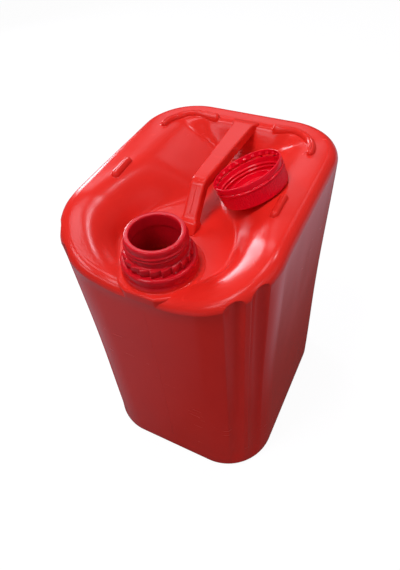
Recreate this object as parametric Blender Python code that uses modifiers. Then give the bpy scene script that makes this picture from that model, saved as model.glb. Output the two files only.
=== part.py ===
"""A ten-litre stacking jerrycan, blow moulded, with its screw cap lying open on the sunk top.

Metres, +Z up. The neck is towards -Y, the handle lies along Y, and the origin is on the ground
under the middle of the can.
"""

import math

import bmesh
import bpy
import numpy as np
from mathutils import Matrix, Vector

# Shell of the can
CAN_WIDTH = 0.190
CAN_DEPTH = 0.2272
RIM_HEIGHT = 0.2994
WALL = 0.0018
CORNER_RADIUS = 0.0524
TOP_EDGE_RADIUS = 0.010
BASE_EDGE_RADIUS = 0.006
WAIST = 0.0016  # how far the walls draw in half-way up
STAND_WIDTH = 0.012  # flat ring that the can stands on
BASE_RISE = 0.003  # how far the underside is sunk inside that ring

# Sunk deck between the rims, open towards the neck
DECK_DROP = 0.0318
FLOOR_WIDTH = 0.016
SIDE_RIM_WIDTH = 0.0332
SIDE_RIM_TAPER = 0.080  # length over which it narrows towards the front corner
REAR_RIM_WIDTH = 0.0245
CORNER_RIM_WIDTH = 0.0150  # at the front corners
NECK_RIM_WIDTH = 0.0090  # where it ends beside the neck
REAR_SLOPE_RUN = 0.012  # how far the deck's slopes reach in from the rim's inner edge
CORNER_SLOPE_RUN = 0.034
NECK_SLOPE_RUN = 0.012
DECK_CORNER_RADIUS = 0.030  # of the rims' inner edge at the rear corners
DECK_CORNER_ANGLES = (10.0, 60.0)  # round that corner from the side: where the rear wall's steepness begins and is full
SLOPE_POWERS = (1.7, 1.2, 1.3)  # of the deck's slopes at the front corners, the sides and the rear
SLOPE_JOIN = 3  # power in the formula that joins the side's and the rear's slope
RIM_SHARPNESS = 8  # power in the formula that turns the deck's slope into the rim
FALL_CENTRE = 0.0736  # from the front face to the point that the rims' fall is measured round
FALL_ANGLES = (15.0, 83.0)  # round that point from the front: from the foot of the fall to its top

# Two flutes down each front corner, as angles round the corner from the front face
FLUTE_ANGLES = (36.0, 58.5)
FLUTE_HALF_ANGLE = 8.0
FLUTE_DEPTH = 0.0040
FLUTE_TOP = 0.0025  # below the rim's crest
FLUTE_RUN_OUT = 0.0045
FLUTE_FOOT = 0.25  # share of the depth that is left at the base

# Stacking beads on the rims
BEAD_RADIUS = 0.0032
BEAD_INSET = 0.0236
SIDE_BEAD_START = -0.0245
SIDE_BEAD_LENGTH = 0.020
CORNER_BEAD_LEAD = 0.012  # straight part behind the corner's arc

# Neck on its pedestal, heights above the deck floor
NECK_SETBACK = 0.034  # front face of the can to the neck's axis
PEDESTAL_RADIUS = 0.0337
PEDESTAL_HEIGHT = 0.0010
PEDESTAL_EDGE = 0.0035
NECK_RADIUS = 0.0238
LIP_RADIUS = 0.0233
BORE_RADIUS = 0.0194
NECK_HEIGHT = 0.0350
GROOVE_RADIUS = 0.0270
FLANGE_RADIUS = 0.0295
FLANGE_HEIGHT = 0.0105
FLANGE_THICKNESS = 0.0050
RATCHET_RADIUS = 0.0266
RATCHET_DEPTH = 0.0018
RATCHET_HEIGHT = 0.0056
RATCHET_TEETH = 20

# Carrying handle along the middle
HANDLE_PROUD = 0.0015  # bar above the rim
HANDLE_THICKNESS = 0.0105
HANDLE_FRONT_WIDTH = 0.0126
HANDLE_REAR_WIDTH = 0.0200
HANDLE_FRONT_Y = -0.0090  # where the bar's top turns down into the leg
LEG_ANGLE = 48.8
HANDLE_BEND_RADIUS = 0.008
HANDLE_EDGE = 0.0022

# Screw cap with its tamper band
CAP_HEIGHT = 0.0206  # both together
CAP_RADIUS = 0.0285
CAP_FLARE = 0.0007  # how much wider the skirt is at its open end
CAP_WALL = 0.0016
CAP_TOP = 0.0020
CAP_RIBS = 48
CAP_RIB_DEPTH = 0.0004
PLUG_RADIUS = 0.0191
PLUG_WALL = 0.0012
PLUG_HEIGHT = 0.0055
BAND_HEIGHT = 0.0050
BAND_RADIUS = 0.0295
BAND_WALL = 0.0012
BAND_SLIT = 0.0008
BAND_HOOK = 0.0014
BRIDGES = 12
BRIDGE_WIDTH = 0.0014
CAP_TILT = 25.9
CAP_Y = 0.0102

SEAT_GAP = 0.0003  # between pieces that touch

DECK_FLOOR = RIM_HEIGHT - DECK_DROP
NECK_Y = NECK_SETBACK - CAN_DEPTH / 2


def smooth_step(value, start, end):
    """0 before start, 1 after end, and an S-shaped ramp between them."""
    t = np.clip((value - start) / (end - start), 0.0, 1.0)
    return t * t * (3 - 2 * t)


def deck_height(x, y):
    """Height of the can's top: rims round a sunk floor, running down round the front corners to the neck.

    The climb is 0 on the floor and 1 at the rim's inner edge. It is measured by how far a point lies in
    from the outline. At the rear a steep wall adds its own part, which follows the round corners of the rim's
    inner edge and fades out along the sides.
    """
    x = np.abs(np.asarray(x, float))
    y = np.asarray(y, float)
    corner_y = CORNER_RADIUS - CAN_DEPTH / 2
    past_x = x - CAN_WIDTH / 2 + CORNER_RADIUS
    past_y = corner_y - y
    round_corner = np.hypot(np.maximum(past_x, 0.0), np.maximum(past_y, 0.0))
    inset = CORNER_RADIUS - round_corner - np.minimum(np.maximum(past_x, past_y), 0.0)

    at_side = smooth_step(y, corner_y, corner_y + SIDE_RIM_TAPER)
    at_corner = 1 - (1 - at_side) * (1 - smooth_step(x, NECK_RADIUS, CAN_WIDTH / 2 - CORNER_RADIUS / 2))
    corner_rim = CORNER_RIM_WIDTH + (SIDE_RIM_WIDTH - CORNER_RIM_WIDTH) * at_side
    side_run = CAN_WIDTH / 2 - SIDE_RIM_WIDTH - FLOOR_WIDTH / 2
    corner_run = CORNER_SLOPE_RUN + (side_run - CORNER_SLOPE_RUN) * at_side
    rim = NECK_RIM_WIDTH + (corner_rim - NECK_RIM_WIDTH) * at_corner
    run = NECK_SLOPE_RUN + (corner_run - NECK_SLOPE_RUN) * at_corner
    corner_power, side_power, rear_power = SLOPE_POWERS
    side = np.clip(1 + (rim - inset) / run, 0.0, None) ** (corner_power + (side_power - corner_power) * at_side)

    over_side = np.maximum(DECK_CORNER_RADIUS + SIDE_RIM_WIDTH - CAN_WIDTH / 2 + x, 0.0)
    over_rear = np.maximum(DECK_CORNER_RADIUS + REAR_RIM_WIDTH - CAN_DEPTH / 2 + y, 0.0)
    from_edge = DECK_CORNER_RADIUS - np.hypot(over_side, over_rear)
    at_rear = smooth_step(np.degrees(np.arctan2(over_rear, over_side)), *DECK_CORNER_ANGLES)
    rear = at_rear * np.clip(1 - from_edge / REAR_SLOPE_RUN, 0.0, None) ** rear_power

    climb = (side**SLOPE_JOIN + rear**SLOPE_JOIN) ** (1 / SLOPE_JOIN)
    climb = climb / (1 + climb**RIM_SHARPNESS) ** (1 / RIM_SHARPNESS)
    round_front = np.degrees(np.arctan2(x, FALL_CENTRE - CAN_DEPTH / 2 - y))
    return DECK_FLOOR + DECK_DROP * climb * smooth_step(round_front, *FALL_ANGLES)


def outline():
    """Plan outline of the can, once round: points, outward normals, and how deep a flute lies at each."""
    half_x = CAN_WIDTH / 2 - CORNER_RADIUS
    half_y = CAN_DEPTH / 2 - CORNER_RADIUS
    bends = [centre + FLUTE_HALF_ANGLE * step for centre in FLUTE_ANGLES for step in (-1.0, -0.5, 0.0, 0.5, 1.0)]
    bends += [bends[0] * share for share in (0.0, 0.36, 0.72)]
    bends += [bends[9] + (90.0 - bends[9]) * share for share in (0.32, 0.66, 1.0)]
    right = [(half_x * share, -CAN_DEPTH / 2, -90.0) for share in (0.0, 0.35, 0.7)]
    right += [(half_x, -half_y, bend - 90.0) for bend in sorted(bends)]
    right += [(CAN_WIDTH / 2, half_y * share, 0.0) for share in (-0.5, 0.0, 0.5)]
    right += [(half_x, half_y, bend) for bend in np.linspace(0.0, 90.0, 9)]
    right += [(half_x * share, CAN_DEPTH / 2, 90.0) for share in (0.6, 0.0)]

    points, normals, flutes = [], [], []
    for x, y, bend in right:
        normal = np.array([math.cos(math.radians(bend)), math.sin(math.radians(bend))])
        on_corner = abs(x) == half_x and abs(y) == half_y
        points.append(np.array([x, y]) + (CORNER_RADIUS * normal if on_corner else 0.0))
        normals.append(normal)
        off = min(abs(bend + 90.0 - centre) for centre in FLUTE_ANGLES) / FLUTE_HALF_ANGLE
        flutes.append(0.5 + 0.5 * math.cos(math.pi * min(off, 1.0)))
    mirror = np.array([-1.0, 1.0])
    points += [p * mirror for p in points[-2:0:-1]]
    normals += [n * mirror for n in normals[-2:0:-1]]
    flutes += flutes[-2:0:-1]
    return np.array(points), np.array(normals), np.array(flutes)


def skin(name, rings, start=None, end=None):
    """A mesh through closed rings of equal count, with a point at either end where one is given."""
    mesh = bmesh.new()
    rows = [[mesh.verts.new(p) for p in ring] for ring in rings]
    count = len(rows[0])
    for lower, upper in zip(rows, rows[1:]):
        for i in range(count):
            j = (i + 1) % count
            mesh.faces.new((lower[i], lower[j], upper[j], upper[i]))
    for tip, row, forward in ((start, rows[0], False), (end, rows[-1], True)):
        if tip is None:
            mesh.faces.new(row if forward else row[::-1])
            continue
        apex = mesh.verts.new(tip)
        for i in range(count):
            j = (i + 1) % count
            mesh.faces.new((row[i], row[j], apex) if forward else (row[j], row[i], apex))
    data = bpy.data.meshes.new(name)
    mesh.to_mesh(data)
    mesh.free()
    return data


def shell_surface(name, depth, wall_levels, deck_insets):
    """The can's outer surface moved inwards by depth, from the middle of the base to the middle of the deck.

    Wall levels are shares of the wall's height. Deck insets are measured in from the outline, and the rows inside
    the last of them are shares of its way to the middle.
    """
    points, normals, flutes = outline()

    def ring(inset, heights):
        plan = points - normals * np.broadcast_to(inset, len(points))[:, None]
        return np.column_stack([plan, np.broadcast_to(heights, len(plan))])

    crest_plan = points - normals * TOP_EDGE_RADIUS
    crest = deck_height(crest_plan[:, 0], crest_plan[:, 1]) - depth
    top_radius = TOP_EDGE_RADIUS - depth
    base_radius = BASE_EDGE_RADIUS - depth
    foot = BASE_EDGE_RADIUS + STAND_WIDTH

    rings = [ring(foot + BASE_RISE * 2, BASE_RISE + depth), ring(foot, depth)]
    for bend in np.radians((90.0, 60.0, 30.0)):
        inset = depth + base_radius * (1 - math.cos(bend))
        rings.append(ring(inset, depth + base_radius * (1 - math.sin(bend))))

    wall_foot = BASE_EDGE_RADIUS
    wall_top = crest - top_radius
    flute_top = crest - FLUTE_TOP
    rows = [(0.0, wall_foot + (wall_top - wall_foot) * level) for level in wall_levels]
    rows += [(top_radius * (1 - math.cos(b)), wall_top + top_radius * math.sin(b)) for b in np.radians((22.5, 45.0, 67.5))]
    for inset, height in rows:
        share = (height - wall_foot) / (RIM_HEIGHT - wall_foot)
        drawn_in = WAIST * np.sin(np.pi * np.clip(share, 0.0, 1.0)) ** 2
        flute = FLUTE_DEPTH * flutes * smooth_step(flute_top - height, 0.0, FLUTE_RUN_OUT)
        flute = flute * (FLUTE_FOOT + (1 - FLUTE_FOOT) * share)
        rings.append(ring(depth + inset + drawn_in + flute, height))

    for inset in (TOP_EDGE_RADIUS,) + tuple(deck_insets):
        plan = points - normals * inset
        rings.append(ring(inset, deck_height(plan[:, 0], plan[:, 1]) - depth))
    last = points - normals * deck_insets[-1]
    for share in (0.86, 0.71, 0.56, 0.41, 0.26, 0.12):
        heights = deck_height(last[:, 0] * share, last[:, 1] * share) - depth
        rings.append(np.column_stack([last * share, heights]))
    middle = float(deck_height(0.0, 0.0)) - depth
    return skin(name, rings, start=(0.0, 0.0, BASE_RISE + depth), end=(0.0, 0.0, middle))


def handle_surface(name, depth, foot_reach, rear_reach):
    """The handle's bar moved inwards by depth: a flat bar up the slanting leg, round the bend and back to the rim."""
    thickness = HANDLE_THICKNESS - 2 * depth
    middle_z = RIM_HEIGHT + HANDLE_PROUD - HANDLE_THICKNESS / 2
    lean = math.radians(LEG_ANGLE)
    up_leg = np.array([math.cos(lean), math.sin(lean)])
    # The corner of the bar's middle line lies inside the corner of its top
    corner = np.array([HANDLE_FRONT_Y + math.tan(lean / 2) * HANDLE_THICKNESS / 2, middle_z])
    bend_reach = HANDLE_BEND_RADIUS * math.tan(lean / 2)
    centre = corner + np.array([bend_reach, -HANDLE_BEND_RADIUS])
    leg_length = (middle_z - DECK_FLOOR) / math.sin(lean) + foot_reach
    rear_wall = CAN_DEPTH / 2 - REAR_RIM_WIDTH

    stations = [corner - up_leg * leg_length, corner - up_leg * bend_reach * 1.5]
    for turn in np.linspace(math.pi / 2 + lean, math.pi / 2, 5):
        stations.append(centre + HANDLE_BEND_RADIUS * np.array([math.cos(turn), math.sin(turn)]))
    stations += [np.array([y, middle_z]) for y in np.linspace(centre[0], rear_wall - 0.008, 4)[1:]]
    stations.append(np.array([rear_wall + rear_reach, middle_z - HANDLE_PROUD - WALL]))
    stations = np.array(stations)
    along = np.gradient(stations, axis=0)
    along[:2] = up_leg
    along /= np.linalg.norm(along, axis=1)[:, None]

    edge = max(HANDLE_EDGE - depth, 0.0004)
    rings = []
    for (y, z), (dy, dz) in zip(stations, along):
        back = np.clip((y - HANDLE_FRONT_Y) / (rear_wall - HANDLE_FRONT_Y), 0.0, 1.0)
        half = (HANDLE_FRONT_WIDTH + (HANDLE_REAR_WIDTH - HANDLE_FRONT_WIDTH) * back) / 2 - depth
        ring = []
        for corner_turn, sx, st in ((0.0, 1, 1), (90.0, -1, 1), (180.0, -1, -1), (270.0, 1, -1)):
            for turn in np.radians(corner_turn + np.array([0.0, 45.0, 90.0])):
                across = sx * (half - edge) + edge * math.cos(turn)
                lift = st * (thickness / 2 - edge) + edge * math.sin(turn)
                ring.append((across, y - dz * lift, z + dy * lift))
        rings.append(ring[::-1])
    return skin(name, rings)


def turned(name, profile, steps):
    """A solid turned round the neck's axis from a profile of (radius, height), from top to bottom."""
    mesh = bpy.data.meshes.new(name)
    points = [(radius, 0.0, height) for radius, height in profile]
    mesh.from_pydata(points, [(i, i + 1) for i in range(len(points) - 1)], [])
    obj = bpy.data.objects.new(name, mesh)
    obj.location = (0.0, NECK_Y, 0.0)
    screw = obj.modifiers.new("turned", "SCREW")
    screw.axis = "Z"
    screw.steps = screw.render_steps = steps
    screw.use_merge_vertices = True
    screw.merge_threshold = 0.00001
    return obj


def arc(centre, radius, start, end, count):
    """Points of an arc, as (radius, height) pairs, from one angle in degrees to the other."""
    turns = np.radians(np.linspace(start, end, count))
    return [(centre[0] + radius * math.cos(t), centre[1] + radius * math.sin(t)) for t in turns]


def neck_outside():
    """Profile of pedestal, concave groove, round flange and threaded neck, from the lip down."""
    top = DECK_FLOOR + NECK_HEIGHT
    pedestal = DECK_FLOOR + PEDESTAL_HEIGHT
    flange = DECK_FLOOR + FLANGE_HEIGHT
    half = FLANGE_THICKNESS / 2
    profile = [(0.0, top), (LIP_RADIUS - 0.0008, top), (LIP_RADIUS, top - 0.0008)]
    profile += [(NECK_RADIUS, top - 0.004), (NECK_RADIUS, flange + half)]
    profile += arc((FLANGE_RADIUS - half, flange), half, 90.0, -90.0, 7)
    profile += [(GROOVE_RADIUS, flange - half - 0.0010), (GROOVE_RADIUS, pedestal + 0.0012)]
    profile += [(GROOVE_RADIUS + 0.0014, pedestal)]
    profile += arc((PEDESTAL_RADIUS - PEDESTAL_EDGE, pedestal - PEDESTAL_EDGE), PEDESTAL_EDGE, 90.0, 0.0, 4)
    below = DECK_FLOOR - TOP_EDGE_RADIUS * 1.5
    return profile + [(PEDESTAL_RADIUS, below), (0.0, below)]


def neck_inside():
    """Profile of the bore and of the hollow pedestal under it, one wall inside the outer profile."""
    pedestal = DECK_FLOOR + PEDESTAL_HEIGHT
    neck_foot = DECK_FLOOR + FLANGE_HEIGHT + FLANGE_THICKNESS / 2
    hollow = PEDESTAL_RADIUS - WALL
    above = DECK_FLOOR + NECK_HEIGHT * 1.2
    below = DECK_FLOOR - TOP_EDGE_RADIUS * 2
    profile = [(0.0, above), (BORE_RADIUS, above), (BORE_RADIUS, neck_foot)]
    profile += [(GROOVE_RADIUS - 2 * WALL, pedestal), (GROOVE_RADIUS - WALL, pedestal - WALL)]
    profile += arc((hollow - PEDESTAL_EDGE, pedestal - WALL - PEDESTAL_EDGE), PEDESTAL_EDGE, 90.0, 0.0, 3)
    return profile + [(hollow, below), (0.0, below)]


def ratchet_ring():
    """A collar of saw teeth over the flange, each rising gently and ending in a steep face."""
    root = RATCHET_RADIUS - RATCHET_DEPTH
    low = DECK_FLOOR + FLANGE_HEIGHT + FLANGE_THICKNESS / 4
    high = low + RATCHET_HEIGHT + FLANGE_THICKNESS / 4
    outline_points = []
    for tooth in range(RATCHET_TEETH):
        for share, radius in ((0.0, root), (0.45, root + RATCHET_DEPTH * 0.7), (0.86, RATCHET_RADIUS)):
            turn = 2 * math.pi * (tooth + share) / RATCHET_TEETH
            outline_points.append((radius * math.cos(turn), NECK_Y + radius * math.sin(turn)))
    return skin("ratchet_ring", [[(x, y, z) for x, y in outline_points] for z in (low, high)])


def bead(name, path):
    """A half-round stacking bead on the rim: a tube along the path with pointed-in round ends."""
    rings = []
    path = np.array(path)
    along = np.gradient(path, axis=0)
    along /= np.linalg.norm(along, axis=1)[:, None]
    centre_z = RIM_HEIGHT - BEAD_RADIUS * 0.1
    stations = [(path[0] - along[0] * BEAD_RADIUS * s, along[0], math.sqrt(1 - s * s)) for s in (0.9, 0.55)]
    stations += [(p, a, 1.0) for p, a in zip(path, along)]
    stations += [(path[-1] + along[-1] * BEAD_RADIUS * s, along[-1], math.sqrt(1 - s * s)) for s in (0.55, 0.9)]
    for point, direction, size in stations:
        side = np.array([-direction[1], direction[0]])
        ring = []
        for turn in np.radians(np.arange(0.0, 360.0, 45.0)):
            radius = BEAD_RADIUS * size
            plan = point + side * radius * math.cos(turn)
            ring.append((plan[0], plan[1], centre_z + radius * math.sin(turn)))
        rings.append(ring)
    return skin(name, rings)


def bead_paths():
    """Middle lines of the beads: one along each side rim and one round each rear corner."""
    side_x = CAN_WIDTH / 2 - BEAD_INSET
    radius = CORNER_RADIUS - BEAD_INSET
    centre = (CAN_WIDTH / 2 - CORNER_RADIUS, CAN_DEPTH / 2 - CORNER_RADIUS)
    side = [(side_x, SIDE_BEAD_START + SIDE_BEAD_LENGTH * share) for share in (0.0, 0.5, 1.0)]
    turns = np.radians(np.linspace(0.0, 90.0, 9))
    corner = [(centre[0] + radius * math.cos(t), centre[1] + radius * math.sin(t)) for t in turns]
    corner.append((centre[0] - CORNER_BEAD_LEAD, centre[1] + radius))
    paths = {}
    for side_name, sign in (("right", 1), ("left", -1)):
        paths[f"side_bead_{side_name}"] = [(sign * x, y) for x, y in side]
        paths[f"corner_bead_{side_name}"] = [(sign * x, y) for x, y in corner]
    return paths


def cap_rings():
    """Rings of the cap, closed end down: out over the ribbed skirt, in over its edge, and down to the plug seal."""
    skirt_top = CAP_HEIGHT - BAND_HEIGHT - BAND_SLIT
    outer = CAP_RADIUS + CAP_FLARE
    inner = outer - CAP_WALL
    plug_inner = PLUG_RADIUS - PLUG_WALL
    ribbed = True
    profile = [
        (CAP_RADIUS * 0.5, 0.0, not ribbed),
        (CAP_RADIUS - 0.0016, 0.0, not ribbed),
        (CAP_RADIUS - 0.0004, 0.0005, not ribbed),
        (CAP_RADIUS, 0.0018, ribbed),
        (outer, skirt_top - 0.0012, ribbed),
        (outer + CAP_RIB_DEPTH, skirt_top - 0.0006, not ribbed),
        (outer, skirt_top, not ribbed),
        (inner, skirt_top, not ribbed),
        (inner - CAP_FLARE, CAP_TOP + 0.0010, not ribbed),
        (inner - CAP_FLARE - 0.0010, CAP_TOP, not ribbed),
        (PLUG_RADIUS, CAP_TOP, not ribbed),
        (PLUG_RADIUS, CAP_TOP + PLUG_HEIGHT * 0.7, not ribbed),
        (PLUG_RADIUS - PLUG_WALL * 0.4, CAP_TOP + PLUG_HEIGHT, not ribbed),
        (plug_inner, CAP_TOP + PLUG_HEIGHT, not ribbed),
        (plug_inner, CAP_TOP, not ribbed),
    ]
    turns = 2 * math.pi * np.arange(2 * CAP_RIBS) / (2 * CAP_RIBS)
    rib = CAP_RIB_DEPTH * (np.arange(2 * CAP_RIBS) % 2)
    rings = []
    for radius, height, has_ribs in profile:
        reach = radius + rib * has_ribs
        rings.append(np.column_stack([reach * np.cos(turns), reach * np.sin(turns), np.full_like(turns, height)]))
    return rings


def band_mesh():
    """The tamper band: a thin ring with an inward hook, and short bridges reaching back to the cap's skirt."""
    low = CAP_HEIGHT - BAND_HEIGHT
    inner = BAND_RADIUS - BAND_WALL
    profile = [
        (BAND_RADIUS - 0.0003, low),
        (BAND_RADIUS, low + 0.0008),
        (BAND_RADIUS, CAP_HEIGHT - 0.0005),
        (BAND_RADIUS - 0.0005, CAP_HEIGHT),
        (inner, CAP_HEIGHT),
        (inner, low + BAND_HEIGHT * 0.62),
        (inner - BAND_HOOK, low + BAND_HEIGHT * 0.30),
        (inner - BAND_HOOK * 0.8, low + BAND_HEIGHT * 0.16),
        (inner, low + BAND_HEIGHT * 0.22),
        (inner, low),
    ]
    mesh = bmesh.new()
    count = 5 * BRIDGES
    turns = [2 * math.pi * i / count for i in range(count)]
    rows = [[mesh.verts.new((r * math.cos(t), r * math.sin(t), z)) for t in turns] for r, z in profile]
    for lower, upper in zip(rows, rows[1:] + rows[:1]):
        for i in range(count):
            j = (i + 1) % count
            mesh.faces.new((lower[i], lower[j], upper[j], upper[i]))
    data = bpy.data.meshes.new("tamper_band")
    mesh.to_mesh(data)
    mesh.free()
    return data


def cap_placement():
    """Where the cap lies: tilted against the handle's side and resting on the deck's slope and the rim's inner edge."""
    tilt = math.radians(CAP_TILT)
    rear_wall = CAN_DEPTH / 2 - REAR_RIM_WIDTH
    back = (CAP_Y - HANDLE_FRONT_Y) / (rear_wall - HANDLE_FRONT_Y)
    handle_side = (HANDLE_FRONT_WIDTH + (HANDLE_REAR_WIDTH - HANDLE_FRONT_WIDTH) * back) / 2
    open_x = handle_side + SEAT_GAP + BAND_RADIUS * math.cos(tilt)
    closed_x = open_x + CAP_HEIGHT * math.sin(tilt)

    # Lowest height of the closed end's middle at which the whole end clears the deck
    reach = (CAP_RADIUS - 0.0010) * np.linspace(-1.0, 1.0, 41)
    u, v = np.meshgrid(reach, reach)
    inside = u * u + v * v <= (CAP_RADIUS - 0.0010) ** 2
    u, v = u[inside], v[inside]
    under = deck_height(closed_x + u * math.cos(tilt), CAP_Y + v)
    closed_z = float(np.max(under - u * math.sin(tilt))) + SEAT_GAP / math.cos(tilt)
    return Matrix.Translation((closed_x, CAP_Y, closed_z)) @ Matrix.Rotation(-tilt, 4, "Y")


def make_material(name, colour, roughness):
    """A plain coloured plastic."""
    material = bpy.data.materials.new(name)
    material.use_nodes = True
    shader = material.node_tree.nodes["Principled BSDF"]
    shader.inputs["Base Color"].default_value = (*colour, 1.0)
    shader.inputs["Roughness"].default_value = roughness
    shader.inputs["Metallic"].default_value = 0.0
    return material


def place(data, parts, material):
    """A part made of a mesh, shaded smooth away from its sharp edges."""
    obj = bpy.data.objects.new(data.name, data)
    parts.objects.link(obj)
    data.shade_smooth()
    data.set_sharp_from_angle(angle=math.radians(35))
    data.materials.append(material)
    return obj


def shape(data):
    """A shape that only joins or cuts a part."""
    return bpy.data.objects.new(data.name, data)


def combine(obj, others, operation, cutters, solver="EXACT"):
    """Joins shapes to obj, or cuts them out of it, one after the other. They stay out of the picture themselves."""
    for other in others:
        cutters.objects.link(other)
        other.hide_render = True
        other.display_type = "WIRE"
        boolean = obj.modifiers.new(other.name, "BOOLEAN")
        boolean.operation = operation
        boolean.solver = solver
        boolean.object = other


def make_can_body(parts, cutters, plastic):
    """One moulding: everything outside is joined first, then everything hollow is taken out of it.

    Rims, neck and handle meet at very flat angles, where the exact solver leaves open edges.
    """
    deck_insets = [0.016, 0.022, 0.0245, 0.027, 0.030, 0.033, 0.037]
    outside = shell_surface("can_body", 0.0, (0.0, 0.15, 0.35, 0.55, 0.75, 0.88, 0.95, 1.0), deck_insets)
    body = place(outside, parts, plastic)

    joined = [turned("neck_outside", neck_outside(), 40)]
    joined.append(shape(ratchet_ring()))
    joined.append(shape(handle_surface("handle_outside", 0.0, 0.010, 0.014)))
    joined += [shape(bead(name, path)) for name, path in bead_paths().items()]
    combine(body, joined, "UNION", cutters, "MANIFOLD")

    hollow = [shape(shell_surface("shell_inside", WALL, (0.0, 0.3, 0.6, 0.85, 1.0), deck_insets[1:]))]
    hollow.append(turned("neck_inside", neck_inside(), 40))
    hollow.append(shape(handle_surface("handle_inside", WALL, 0.014, 0.006)))
    combine(body, hollow, "DIFFERENCE", cutters, "MANIFOLD")


def bridge(index):
    """A thin tie across the slit, rooted in the band and ending just short of the cap's skirt."""
    mesh = bmesh.new()
    bmesh.ops.create_cube(mesh, size=1.0)
    low = CAP_HEIGHT - BAND_HEIGHT - BAND_SLIT + SEAT_GAP
    height = BAND_SLIT - SEAT_GAP + BAND_HEIGHT * 0.1
    bmesh.ops.scale(mesh, vec=Vector((BAND_WALL * 0.6, BRIDGE_WIDTH, height)), verts=mesh.verts)
    middle = (BAND_RADIUS - BAND_WALL * 0.5, 0.0, low + height / 2)
    bmesh.ops.translate(mesh, vec=middle, verts=mesh.verts)
    turn = Matrix.Rotation(2 * math.pi * (index + 0.5) / BRIDGES, 4, "Z")
    bmesh.ops.transform(mesh, matrix=turn, verts=mesh.verts)
    data = bpy.data.meshes.new(f"bridge_{index + 1}")
    mesh.to_mesh(data)
    mesh.free()
    return data


def make_cap(parts, cutters, plastic):
    """The cap and its band share one resting place, which is on the axis that they are lifted along."""
    seat = bpy.data.objects.new("cap_seat", None)
    parts.objects.link(seat)
    seat.matrix_world = cap_placement()

    cap = place(skin("screw_cap", cap_rings(), start=(0.0, 0.0, 0.0), end=(0.0, 0.0, CAP_TOP)), parts, plastic)
    band = place(band_mesh(), parts, plastic)
    bridges = [shape(bridge(index)) for index in range(BRIDGES)]
    combine(band, bridges, "UNION", cutters)
    for obj in [cap, band] + bridges:
        obj.parent = seat


def build():
    for obj in list(bpy.data.objects):
        bpy.data.objects.remove(obj)
    parts = bpy.data.collections.new("jerrycan")
    cutters = bpy.data.collections.new("cutters")
    bpy.context.scene.collection.children.link(parts)
    bpy.context.scene.collection.children.link(cutters)

    can_plastic = make_material("can_plastic", (0.63, 0.018, 0.014), 0.38)
    cap_plastic = make_material("cap_plastic", (0.47, 0.002, 0.010), 0.26)
    make_can_body(parts, cutters, can_plastic)
    make_cap(parts, cutters, cap_plastic)


build()
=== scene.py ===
import math

import bpy
import numpy as np
from mathutils import Matrix


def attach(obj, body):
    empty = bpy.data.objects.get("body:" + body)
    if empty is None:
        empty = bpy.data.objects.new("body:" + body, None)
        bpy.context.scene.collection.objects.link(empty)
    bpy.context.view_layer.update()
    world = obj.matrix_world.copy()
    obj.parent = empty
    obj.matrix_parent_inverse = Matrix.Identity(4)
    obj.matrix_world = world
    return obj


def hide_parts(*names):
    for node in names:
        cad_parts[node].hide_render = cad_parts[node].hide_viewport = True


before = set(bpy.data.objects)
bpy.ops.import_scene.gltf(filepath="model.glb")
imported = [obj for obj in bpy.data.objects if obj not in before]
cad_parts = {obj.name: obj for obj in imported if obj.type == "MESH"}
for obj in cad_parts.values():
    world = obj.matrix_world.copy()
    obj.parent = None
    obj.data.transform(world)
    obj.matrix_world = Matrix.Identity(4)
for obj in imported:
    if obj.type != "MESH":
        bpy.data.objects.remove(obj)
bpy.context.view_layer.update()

# The can's shell: one blow moulding in red polyethylene, with walls, rims and sunk deck in a single skin.
# Its waist and its front corners' flutes stiffen it, and it stands on a flat ring round its sunk underside.
# Lengths are in metres. Angles are in degrees, and those round the can start at the front wall.
CAN_WIDTH, CAN_DEPTH, RIM_Z = 0.190, 0.2272, 0.2994
WALL = 0.0018
CORNER = 0.0524  # radius of the four upright corners
SHOULDER, BASE_EDGE = 0.010, 0.006  # radii of the roundings at the walls' top and foot
BASE_RISE = 0.003
STAND_INSETS = (0.0265, 0.0245, 0.0222, 0.0200, 0.0182)
STAND_RISES = (1.0, 0.92, 0.50, 0.10, 0.0)  # shares of BASE_RISE, from the sunk middle down to the flat ring
WAIST = 0.0016
FOOT_Z = 0.020  # waist, flutes and front step run out between here and the rounding at the foot
DECK_Z = 0.2676
SIDE_RIM, REAR_RIM, CORNER_RIM, NECK_RIM = 0.0332, 0.0245, 0.0185, 0.0090  # from outline to inner edge
RIM_TAPER = 0.080  # way back from the front corners on which the side rims grow wide
CORNER_SLOPE, NECK_SLOPE, REAR_SLOPE = 0.048, 0.012, 0.017  # from the rims' inner edge to the deck's floor
SIDE_BEND, REAR_BEND = 0.12, 0.4  # how softly the slopes leave the floor, as shares of their climb
CHANNEL = 0.016  # width of the floor between the side slopes, under the handle
DECK_CORNER = 0.030  # radius of the rims' inner edge at the rear corners
REAR_TURN = (10.0, 60.0)  # the rear slope comes in between these angles round those corners
CREASE = 10  # the higher this power, the crisper the rims' inner edge
FALL_Y, FALL_TURN = -0.040, (15.0, 83.0)  # the rims fall away round this point, from straight ahead outwards
FLUTES, FLUTE_HALF = (36.0, 58.5), 8.8
FLUTE_DEPTH, FLUTE_BASE = 0.0050, 0.40  # depth at the top, and the share of it at the base
FLUTE_TOP, FLUTE_ARCH, FLUTE_END = 0.0034, 0.0046, 0.0028  # top below the crest, its arch, and its run-out
FRONT_STEP = 0.0007  # the front wall stands back by this much under its shoulder
STEP_UNDER, STEP_TURN = (0.0085, 0.0120), (80.0, 60.0)  # where: below the crest, and round the corners
NECK_Y = -0.0796
NECK_OUT, NECK_IN = 0.0238, 0.0215


def ease(value, start, end):
    """0 before start and 1 after end, and 3t^2 - 2t^3 between them, where t is the share of the way."""
    t = np.clip((value - start) / (end - start), 0.0, 1.0)
    return t * t * (3 - 2 * t)


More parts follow.
